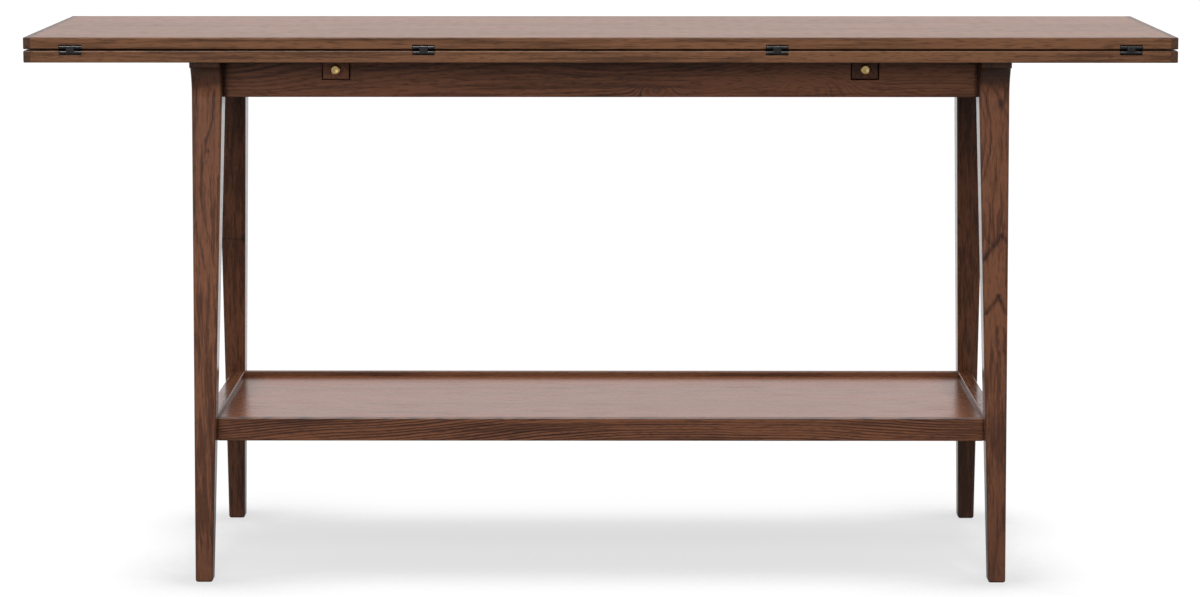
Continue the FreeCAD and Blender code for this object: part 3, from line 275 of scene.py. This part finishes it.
def wood(piece, grain, seed, tones, rough, spacing=0.0042, figure=0.6, slope=0.02, pith=(0.06, 0.04),
         bump=0.10, ior=1.38, reach=1.0, uneven=4.5, contrast=1.0, pores=0.55,
         knots=(), veins=(), seams=(), shades=()):
    """Stained ring-porous wood: growth rings about a pith, bent round knots, fibre streaks and dark pores.

    Tones are light wood, dark wood and the lines in it. The rings are a spacing apart about a pith, which
    lies off the piece's middle and slopes along the grain, and figure is how strong they are. Reach draws
    the grain out, uneven is how much the years differ, contrast sets light and dark wood apart, and pores
    is how dark the pores are. The marks (each knot, vein, seam and shade) are described with their lists.
    The shades, save one crack, are painted shade, and so are the lines along the front legs' heads and a
    broad band on the panel.
    """
    light, dark, line = tones
    rng = random.Random(seed)
    material, tree, shader = new_material(piece + "_wood")
    place = node(tree, "ShaderNodeTexCoord").outputs["Object"]
    parts = node(tree, "ShaderNodeSeparateXYZ", place).outputs
    first, second, third = (parts[index] for index in ORDER[grain])
    turned = node(tree, "ShaderNodeCombineXYZ", first, second, third).outputs[0]
    shift = tuple(rng.uniform(-SHIFT, SHIFT) for _ in range(3))
    spot = vector_calc(tree, "ADD", turned, shift)

    # Rings, whose radius changes along the board, wanders, and swells round the knots
    low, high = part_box(piece)
    middle = [(low[index] + high[index]) / 2 for index in ORDER[grain]]
    across = calc(tree, "SUBTRACT", second, middle[1] + pith[0])
    up = calc(tree, "SUBTRACT", third, middle[2] + pith[1])
    square = calc(tree, "ADD", calc(tree, "MULTIPLY", across, across), calc(tree, "MULTIPLY", up, up))
    radius = calc(tree, "MULTIPLY_ADD", first, slope, calc(tree, "SQRT", square))
    radius = calc(tree, "MULTIPLY_ADD", grain_noise(tree, spot, WANDER, reach), WANDER_DEPTH, radius)
    radius = calc(tree, "MULTIPLY_ADD", grain_noise(tree, spot, SHIVER, reach), SHIVER_DEPTH, radius)
    marks = []
    for along, aside, size, pull, core in knots:
        radius = calc(tree, "MULTIPLY_ADD", hill(tree, first, second, along, aside, size), pull, radius)
        heart = hill(tree, first, second, along, aside, size * KNOT_CORE)
        marks.append(calc(tree, "MULTIPLY", heart, core))
    ring = growth(tree, radius, first, shift[2], spacing, uneven)
    patches = ramp(tree, grain_noise(tree, spot, PATCHES, reach), *PATCH_STOPS)
    ring = calc(tree, "MULTIPLY", calc(tree, "MULTIPLY", ring, patches), figure)

    # Veins that the fibre breaks up, painted shade, and lines where the specular is lowered too: a seam in
    # the top and painted shade on the front legs
    if veins:
        wobble = grain_noise(tree, spot, WOBBLE)
        grit = ramp(tree, grain_noise(tree, spot, GRIT, reach), *GRIT_STOPS)
        streaks = [vein(tree, first, second, wobble, *traits) for traits in veins]
        marks += [calc(tree, "MULTIPLY", streak, grit) for streak in streaks]
    marks += [shading(tree, first, second, middle[1], slant, stops) for slant, stops in shades]
    seam_and_shade_lines = [vein(tree, first, second, NO_WOBBLE, *traits) for traits in seams]
    marks += seam_and_shade_lines

    # Fibre, pores and slow changes of tone
    fibre = grain_noise(tree, spot, FIBRE, reach)
    pore = ramp(tree, grain_noise(tree, spot, PORES, reach), *PORE_STOPS)
    tone = calc(tree, "MULTIPLY", grain_noise(tree, spot, STREAKS, reach), STREAK_TONE)
    tone = calc(tree, "MULTIPLY_ADD", fibre, FIBRE_TONE, tone)
    tone = calc(tree, "MULTIPLY_ADD", grain_noise(tree, spot, CLOUDS, reach), CLOUD_TONE, tone)
    spread = TONE_SPREAD / contrast
    colour = blend(tree, ramp(tree, tone, (1 - spread, 0.0), (1 + spread, 1.0)), rgba(dark), rgba(light))
    colour = blend(tree, ring, colour, rgba(line))
    colour = blend(tree, calc(tree, "MULTIPLY", pore, pores), colour, rgba(line))
    for mark in marks:
        colour = blend(tree, mark, colour, rgba(line))
    feed(tree, shader.inputs["Base Color"], colour)

    # Finish
    coarse = calc(tree, "MULTIPLY_ADD", fibre, FIBRE_ROUGHNESS, rough - FIBRE_ROUGHNESS / 2)
    coarse = calc(tree, "MULTIPLY_ADD", pore, PORE_ROUGHNESS, coarse)
    feed(tree, shader.inputs["Roughness"], coarse)
    shader.inputs["IOR"].default_value = ior
    if seam_and_shade_lines:
        dulled = functools.reduce(lambda one, other: calc(tree, "MAXIMUM", one, other), seam_and_shade_lines)
        glaze = calc(tree, "MULTIPLY_ADD", dulled, -SPECULAR, SPECULAR)
        feed(tree, shader.inputs["Specular IOR Level"], glaze)
    height = calc(tree, "MULTIPLY_ADD", pore, -PORE_DEPTH, calc(tree, "MULTIPLY", fibre, FIBRE_HEIGHT))
    feed(tree, shader.inputs["Normal"], relief(tree, height, bump, WOOD_RELIEF, WOOD_ARRIS))
    return material


# Stains: light wood, dark wood and the lines in it
LEAF = ((0.187, 0.083, 0.039), (0.093, 0.040, 0.018), (0.028, 0.012, 0.007))
FRAME = ((0.205, 0.079, 0.038), (0.105, 0.039, 0.018), (0.032, 0.012, 0.008))
# The shelf panel's stain is lighter and redder than the frame's: painted light, for the light and pinkish
# sheen the panel gets too little of under the leaf
SHELF_LIGHTENED = ((0.295, 0.110, 0.053), (0.224, 0.082, 0.040), (0.070, 0.028, 0.016))
LIPPING = ((0.090, 0.043, 0.025), (0.044, 0.021, 0.013), (0.020, 0.010, 0.007))
INNER = ((0.50, 0.34, 0.20), (0.36, 0.22, 0.12), (0.22, 0.12, 0.06))
LIPPING_ROUGH = 0.36
INNER_ROUGH = 0.6

# Marks placed about where the photograph shows them, in metres.
# Each vein, seam and line of painted shade: start and end, each along the grain and across it, then bow,
# width and strength.
# A knot: its place along the grain and across it, size, bend of the rings and darkness of its core.
# A shade, which is painted shade and in one place a real crack: its slant across the grain, then stops, each
# a place along the grain and a level.

UPPER_LEAF_SEAMS = (
    ((-0.92, 0.010), (-0.58, 0.012), 0.0, 0.0040, 0.5),
)
UPPER_LEAF_VEINS = (
    ((-0.06, 0.000), (0.36, 0.006), 0.002, 0.0060, 0.6),
    ((-0.20, -0.150), (0.10, -0.145), 0.002, 0.0060, 0.5),
    ((0.05, 0.120), (0.50, 0.110), 0.004, 0.0070, 0.5),
)

# Painted shade: the aprons darken at their ends, where they meet the legs, for the shadow in the joint
APRON_SHADES = (
    (0.0, ((-0.60, 0.6), (-0.5275, 0.6), (-0.5245, 0.0))),
    (0.0, ((0.5245, 0.0), (0.5275, 0.6), (0.60, 0.6))),
)
FRONT_APRON_VEINS = (
    ((-0.14, 0.703), (0.10, 0.694), 0.002, 0.0030, 0.5),
    ((-0.09, 0.712), (0.07, 0.706), 0.001, 0.0022, 0.4),
)
FRONT_APRON_KNOTS = (
    (0.290, 0.699, 0.030, 0.028, 0.0),
    (0.078, 0.694, 0.012, 0.016, 0.3),
)

# Painted shade on the legs: darker towards the foot and, on the front legs, in the leaf's shadow above a
# slanted line on the head, in the cove under the lip, and in a line along the head's inner side next to the
# apron
FRONT_LEFT_VEINS = (
    ((0.695, -0.539), (0.614, -0.555), 0.0035, 0.0022, 0.8),
    ((0.630, -0.552), (0.570, -0.560), 0.001, 0.0018, 0.7),
    ((0.570, -0.561), (0.440, -0.539), -0.004, 0.0018, 0.6),
    ((0.510, -0.568), (0.436, -0.552), -0.002, 0.0016, 0.6),
)
FRONT_LEFT_KNOTS = (
    (0.608, -0.5495, 0.005, 0.004, 0.9),
    (0.520, -0.543, 0.012, 0.010, 0.3),
)
# Lines of painted shade along the head's inner side, next to the apron
FRONT_LEFT_SHADE_LINES = (
    ((0.665, -0.5292), (0.755, -0.5280), 0.0, 0.0024, 0.9),
)
# Painted shade towards the foot, in the leaf's shadow above a slanted line, and in the cove under the lip
FRONT_LEFT_SHADES = (
    (0.0, ((0.02, 0.34), (0.36, 0.0))),
    (-0.24, ((0.6950, 0.0), (0.7010, 0.40), (0.76, 0.40))),
    (0.0, ((0.7165, 0.0), (0.7195, 0.28), (0.7240, 0.32), (0.7256, 0.50), (0.7285, 0.0))),
)
FRONT_RIGHT_VEINS = (
    ((0.700, 0.534), (0.560, 0.535), 0.011, 0.0018, 0.8),
    ((0.690, 0.530), (0.575, 0.531), 0.008, 0.0016, 0.5),
    ((0.712, 0.540), (0.640, 0.576), 0.002, 0.0030, 0.6),
    ((0.452, 0.536), (0.496, 0.566), 0.0, 0.0042, 0.95),
    ((0.493, 0.560), (0.476, 0.574), 0.0, 0.0038, 0.95),
    ((0.377, 0.538), (0.410, 0.561), 0.0, 0.0036, 0.95),
    ((0.410, 0.555), (0.377, 0.572), 0.0, 0.0036, 0.95),
    ((0.366, 0.557), (0.320, 0.561), -0.002, 0.0020, 0.8),
    ((0.364, 0.565), (0.322, 0.568), 0.002, 0.0020, 0.8),
)
FRONT_RIGHT_KNOTS = (
    (0.675, 0.5605, 0.011, 0.030, 0.9),
    (0.640, 0.549, 0.010, -0.008, 0.0),
    (0.459, 0.540, 0.008, 0.006, 0.5),
)
# Lines of painted shade along the head's inner side, next to the apron
FRONT_RIGHT_SHADE_LINES = (
    ((0.665, 0.5292), (0.755, 0.5280), 0.0, 0.0024, 0.9),
)
# Painted shade towards the foot, in the leaf's shadow above a slanted line, and in the cove under the lip
FRONT_RIGHT_SHADES = (
    (0.0, ((0.02, 0.40), (0.36, 0.0))),
    (0.24, ((0.6930, 0.0), (0.7010, 0.46), (0.76, 0.46))),
    (0.0, ((0.7000, 0.0), (0.7060, 0.35), (0.7122, 0.35), (0.7137, 0.62), (0.7245, 0.65), (0.7262, 0.0))),
)
REAR_LEFT_KNOTS = (
    (0.440, -0.540, 0.010, 0.0, 0.95),
)
# Painted shade towards the foot, and a real crack across the leg
REAR_LEFT_SHADES = (
    (0.0, ((0.05, 0.40), (0.36, 0.0))),
    (0.05, ((0.4355, 0.0), (0.4383, 0.6), (0.4410, 0.0))),
)
REAR_RIGHT_KNOTS = (
    (0.465, 0.538, 0.008, 0.0, 0.8),
)
# Painted shade towards the foot
REAR_RIGHT_SHADES = (
    (0.0, ((0.05, 0.55), (0.36, 0.0))),
)

# Painted shade on the panel: darker at its ends and, in one broad band listed with the vein marks, along the
# back lip
PANEL_KNOTS = (
    (-0.333, -0.065, 0.016, 0.006, 0.6),
    (0.250, 0.131, 0.012, 0.0, 0.6),
    (0.453, -0.050, 0.014, 0.0, 0.6),
)
PANEL_VEINS_AND_SHADE = (
    ((-0.335, 0.115), (-0.200, 0.121), 0.0, 0.0030, 0.8),
    ((-0.335, -0.132), (-0.205, -0.144), 0.003, 0.0034, 0.9),
    ((-0.083, 0.071), (0.006, 0.077), 0.0, 0.0030, 0.7),
    ((0.085, 0.081), (0.250, 0.073), 0.0, 0.0030, 0.7),
    ((0.355, 0.029), (0.451, 0.030), 0.0, 0.0026, 0.7),
    # Painted shade along the back lip, not a vein
    ((-0.75, 0.160), (0.75, 0.160), 0.0, 0.0200, 0.35),
)
# Painted shade at the panel's ends, next to the end rails
PANEL_SHADES = (
    (0.0, ((-0.60, 0.85), (-0.541, 0.85), (-0.5385, 0.60), (-0.525, 0.50), (-0.505, 0.0))),
    (0.0, ((0.505, 0.0), (0.525, 0.50), (0.5385, 0.60), (0.541, 0.85), (0.60, 0.85))),
)
SHELF_FRONT_KNOTS = (
    (0.10, -0.16, 0.25, -0.04, 0.0),
)

# Boards. Where no tones are given, a board has the frame's
APRON_ROUGH = 0.38
LEG_WOOD = dict(grain="Z", rough=0.20, bump=0.05, contrast=1.6)
END_RAIL_WOOD = dict(grain="Y", rough=0.18, bump=0.03)
LOPER_WOOD = dict(grain="Y", rough=0.42)
WOODS = {
    "upper_leaf": dict(grain="X", seed=61, tones=deeper(LEAF, 1.08), rough=0.34, figure=0.4, bump=0.05,
                       ior=1.362, reach=1.6, seams=UPPER_LEAF_SEAMS, veins=UPPER_LEAF_VEINS),
    "lower_leaf": dict(grain="X", seed=12, tones=deeper(LEAF, 1.05), rough=0.36, figure=0.4, contrast=1.3),
    "front_apron": dict(grain="XZ", seed=13, tones=deeper(FRAME, 1.02), rough=APRON_ROUGH, spacing=0.0032,
                        figure=1.1, slope=0.03, pith=(0.04, 0.06), uneven=2.5, shades=APRON_SHADES,
                        veins=FRONT_APRON_VEINS, knots=FRONT_APRON_KNOTS),
    "rear_apron": dict(grain="X", seed=14, rough=APRON_ROUGH, shades=APRON_SHADES),
    "left_end_apron": dict(grain="Y", seed=15, rough=APRON_ROUGH),
    "right_end_apron": dict(grain="Y", seed=16, rough=APRON_ROUGH),
    "front_left_leg": dict(LEG_WOOD, seed=17, tones=deeper(FRAME, 0.97), figure=0.8,
                           veins=FRONT_LEFT_VEINS, knots=FRONT_LEFT_KNOTS, seams=FRONT_LEFT_SHADE_LINES,
                           shades=FRONT_LEFT_SHADES),
    "front_right_leg": dict(LEG_WOOD, seed=18, tones=deeper(FRAME, 0.87), slope=0.045, pith=(-0.004, 0.045),
                            figure=0.9, veins=FRONT_RIGHT_VEINS, knots=FRONT_RIGHT_KNOTS,
                            seams=FRONT_RIGHT_SHADE_LINES, shades=FRONT_RIGHT_SHADES),
    # Painted shade: the rear legs take darker copies of the frame's stain, as they stand in the table's
    # shade
    "rear_left_leg": dict(LEG_WOOD, seed=19, tones=deeper(FRAME, 0.84), knots=REAR_LEFT_KNOTS,
                          shades=REAR_LEFT_SHADES),
    "rear_right_leg": dict(LEG_WOOD, seed=20, tones=deeper(FRAME, 0.72), knots=REAR_RIGHT_KNOTS,
                           shades=REAR_RIGHT_SHADES),
    "shelf_panel": dict(grain="X", seed=21, tones=SHELF_LIGHTENED, rough=0.22, figure=0.2, bump=0.01, ior=1.30,
                        reach=5.0, pores=0.2, knots=PANEL_KNOTS, veins=PANEL_VEINS_AND_SHADE, shades=PANEL_SHADES),
    "shelf_front_rail": dict(grain="X", seed=22, tones=deeper(FRAME, 0.93), rough=0.36, spacing=0.0037,
                             figure=2.0, slope=-0.03, pith=(0.01, -0.09), uneven=1.2,
                             knots=SHELF_FRONT_KNOTS),
    "shelf_back_rail": dict(grain="X", seed=23, tones=deeper(FRAME, 0.62), rough=0.46),
    "shelf_left_end_rail": dict(END_RAIL_WOOD, seed=24),
    "shelf_right_end_rail": dict(END_RAIL_WOOD, seed=25),
    # Painted light and shade: the drawn-out left loper takes a lighter copy of the frame's stain, the
    # recessed right one a much darker copy
    "left_loper": dict(LOPER_WOOD, seed=26, tones=deeper(FRAME, 1.12)),
    "right_loper": dict(LOPER_WOOD, seed=27, tones=deeper(FRAME, 0.60)),
}
for name, traits in WOODS.items():
    dress(name, wood(name, **{"tones": FRAME, **traits}))

lippings = [f"{leaf}_leaf_{side}_lipping" for leaf in ("lower", "upper") for side in ("left", "right")]
for seed, name in enumerate(lippings, start=31):
    dress(name, wood(name, "Y", seed, LIPPING, LIPPING_ROUGH))

inner = [name for name in NODES if name.endswith(("_corner_block", "_runner", "_keeper", "_peg"))]
for seed, name in enumerate(sorted(inner), start=41):
    dress(name, wood(name, "X" if name.endswith("_keeper") else "Y", seed, INNER, INNER_ROUGH))


# Metal and felt

# Noises: detail and roughness. The scratches are finer than the mottles
MOTTLES = (4.0, 0.6)
SCRATCHES = (3.0, 0.5)
SCRATCH_FINENESS = 3
MOTTLE_STOPS = ((0.35, 0.0), (0.7, 1.0))
MOTTLE_ROUGHNESS = 0.14
SCRATCH_STRENGTH = 0.08
SCRATCH_RELIEF = 0.0002


def metal(name, colour, worn, rough, scale, metallic=1.0, arris=0.0004):
    """Metal with a mottled finish and fine scratches."""
    material, tree, shader = new_material(name)
    place = node(tree, "ShaderNodeTexCoord").outputs["Object"]
    mottle = ramp(tree, noise(tree, place, scale, *MOTTLES), *MOTTLE_STOPS)
    scratches = noise(tree, place, scale * SCRATCH_FINENESS, *SCRATCHES)
    feed(tree, shader.inputs["Base Color"], blend(tree, mottle, rgba(colour), rgba(worn)))
    feed(tree, shader.inputs["Roughness"], calc(tree, "MULTIPLY_ADD", mottle, MOTTLE_ROUGHNESS, rough))
    shader.inputs["Metallic"].default_value = metallic
    normal = relief(tree, scratches, SCRATCH_STRENGTH, SCRATCH_RELIEF, arris)
    feed(tree, shader.inputs["Normal"], normal)
    return material


FINISHES = {
    "hinge_black": metal("hinge_black", (0.030, 0.029, 0.029), (0.060, 0.058, 0.057), 0.28, 400, 0.8),
    "steel": metal("steel", (0.42, 0.42, 0.43), (0.55, 0.55, 0.55), 0.32, 500),
    "brass": metal("brass", (0.84, 0.60, 0.24), (0.92, 0.70, 0.34), 0.16, 350, arris=0.0014),
    "felt": metal("felt", (0.04, 0.028, 0.022), (0.07, 0.05, 0.04), 0.9, 900, 0.0),
}
for entry in frame["record"]["subparts"]:
    if entry["material_slot"] in FINISHES:
        dress(entry["node"], FINISHES[entry["material_slot"]])


# Floor and world

# The backdrop is white to the camera. Its other levels: as a light, and mirrored in front of the table
AMBIENT = 0.05
FRONT_GLOSS = 0.35
WHITE = (1.0, 1.0, 1.0)
MIRROR_TINT = (1.0, 0.96, 0.97)

# Where mirrored rays see white: behind, overhead, and a wall at the front left
BACK_STOPS = ((0.3, 0.0), (0.6, 1.0))
HIGH_STOPS = ((0.5, 0.0), (0.75, 1.0))
WALL_STOPS = ((0.86, 0.0), (0.95, 1.0))
WALL_WAY = (-0.50, -0.84, 0.20)

# The floor's own light keeps it white. It is dimmer close under the shelf, which hangs within reach
FLOOR_HALF = 60.0
FLOOR_GLOW = 0.905
FLOOR_SHADE = 0.14
FLOOR_BOUNCE = 0.05
FLOOR_REACH = 0.24
FLOOR_STOPS = ((0.0, 0.0), (0.8, 1.0))
CLOSE_STOPS = ((0.86, 0.735), (0.97, 1.0))


def shown(tree):
    """1 for rays that show the background: straight to the camera, mirrored or through glass."""
    path = node(tree, "ShaderNodeLightPath").outputs
    ray = calc(tree, "MAXIMUM", path["Is Camera Ray"], path["Is Glossy Ray"])
    return calc(tree, "MAXIMUM", ray, path["Is Transmission Ray"])


def gloss_level(tree, along):
    """White to the camera. Mirrored rays see white where along is 1, and the front level where it is 0."""
    path = node(tree, "ShaderNodeLightPath").outputs
    level = calc(tree, "MULTIPLY_ADD", along, 1.0 - FRONT_GLOSS, FRONT_GLOSS)
    return calc(tree, "MAXIMUM", level, path["Is Camera Ray"])


def pale_floor():
    """A floor that is white to the camera, keeps the shadows, and bounces little light."""
    material = bpy.data.materials.new("pale_floor")
    tree = empty_tree(material)
    place = node(tree, "ShaderNodeTexCoord").outputs["Object"]
    back = node(tree, "ShaderNodeSeparateXYZ", place).outputs[1]
    level = gloss_level(tree, ramp(tree, calc(tree, "MULTIPLY", back, 0.5), *FLOOR_STOPS))
    opening = node(tree, "ShaderNodeAmbientOcclusion", None, FLOOR_REACH).outputs["AO"]
    close = ramp(tree, opening, *CLOSE_STOPS)
    plain = node(tree, "ShaderNodeBsdfDiffuse", rgba((FLOOR_BOUNCE, FLOOR_BOUNCE, FLOOR_BOUNCE)))
    shade = node(tree, "ShaderNodeBsdfDiffuse", calc(tree, "MULTIPLY", level, FLOOR_SHADE))
    glow = node(tree, "ShaderNodeEmission", close, calc(tree, "MULTIPLY", level, FLOOR_GLOW))
    both = node(tree, "ShaderNodeAddShader", shade.outputs[0], glow.outputs[0])
    mixed = node(tree, "ShaderNodeMixShader", shown(tree), plain.outputs[0], both.outputs[0])
    node(tree, "ShaderNodeOutputMaterial", mixed.outputs[0])
    return material


def studio_world():
    """A white backdrop, a little warm and dimmer in front for mirrored rays, and nearly dark as a light."""
    world = bpy.data.worlds.new("studio")
    tree = empty_tree(world)
    way = node(tree, "ShaderNodeTexCoord").outputs["Generated"]
    ways = node(tree, "ShaderNodeSeparateXYZ", way).outputs
    wall = node(tree, "ShaderNodeVectorMath", way, WALL_WAY, operation="DOT_PRODUCT").outputs["Value"]
    along = ramp(tree, calc(tree, "MULTIPLY_ADD", ways[1], 0.5, 0.5), *BACK_STOPS)
    along = calc(tree, "MAXIMUM", along, ramp(tree, ways[2], *HIGH_STOPS))
    along = calc(tree, "MAXIMUM", along, ramp(tree, wall, *WALL_STOPS))
    strength = calc(tree, "SUBTRACT", gloss_level(tree, along), AMBIENT)
    strength = calc(tree, "MULTIPLY_ADD", shown(tree), strength, AMBIENT)
    seen = node(tree, "ShaderNodeLightPath").outputs["Is Camera Ray"]
    colour = blend(tree, seen, rgba(MIRROR_TINT), rgba(WHITE))
    background = node(tree, "ShaderNodeBackground", colour, strength)
    node(tree, "ShaderNodeOutputWorld", background.outputs[0])
    return world


floor_mesh = bpy.data.meshes.new("floor")
floor_mesh.from_pydata([(-FLOOR_HALF, -FLOOR_HALF, 0), (FLOOR_HALF, -FLOOR_HALF, 0),
                        (FLOOR_HALF, FLOOR_HALF, 0), (-FLOOR_HALF, FLOOR_HALF, 0)], [], [(0, 1, 2, 3)])
floor = bpy.data.objects.new("floor", floor_mesh)
scene.collection.objects.link(floor)
floor_mesh.materials.append(pale_floor())
scene.world = studio_world()


# Lamps: degrees above the horizon in front of the table, turn to its left, angular size, and strength

LAMPS = {
    "front_lamp": (18, 5, 34, 1.37),
    "high_lamp": (43, 0, 14, 1.25),
    "top_lamp": (96, 0, 75, 1.2),
    "left_lamp": (25, 95, 60, 0.8),
    "right_lamp": (25, -95, 60, 0.8),
    "back_lamp": (25, 180, 60, 0.7),
}
GLINT_LAMP = (55, 10, 12, 2.0)


def sky_lamp(name, elevation, side, spread, strength):
    """A far soft lamp."""
    data = bpy.data.lights.new(name, "SUN")
    data.energy = strength
    data.angle = math.radians(spread)
    lamp = bpy.data.objects.new(name, data)
    lamp.rotation_euler = Euler((math.radians(90 - elevation), 0, math.radians(-side)))
    scene.collection.objects.link(lamp)
    return lamp


for name, traits in LAMPS.items():
    sky_lamp(name, *traits).visible_glossy = False
sky_lamp("glint_lamp", *GLINT_LAMP).visible_diffuse = False
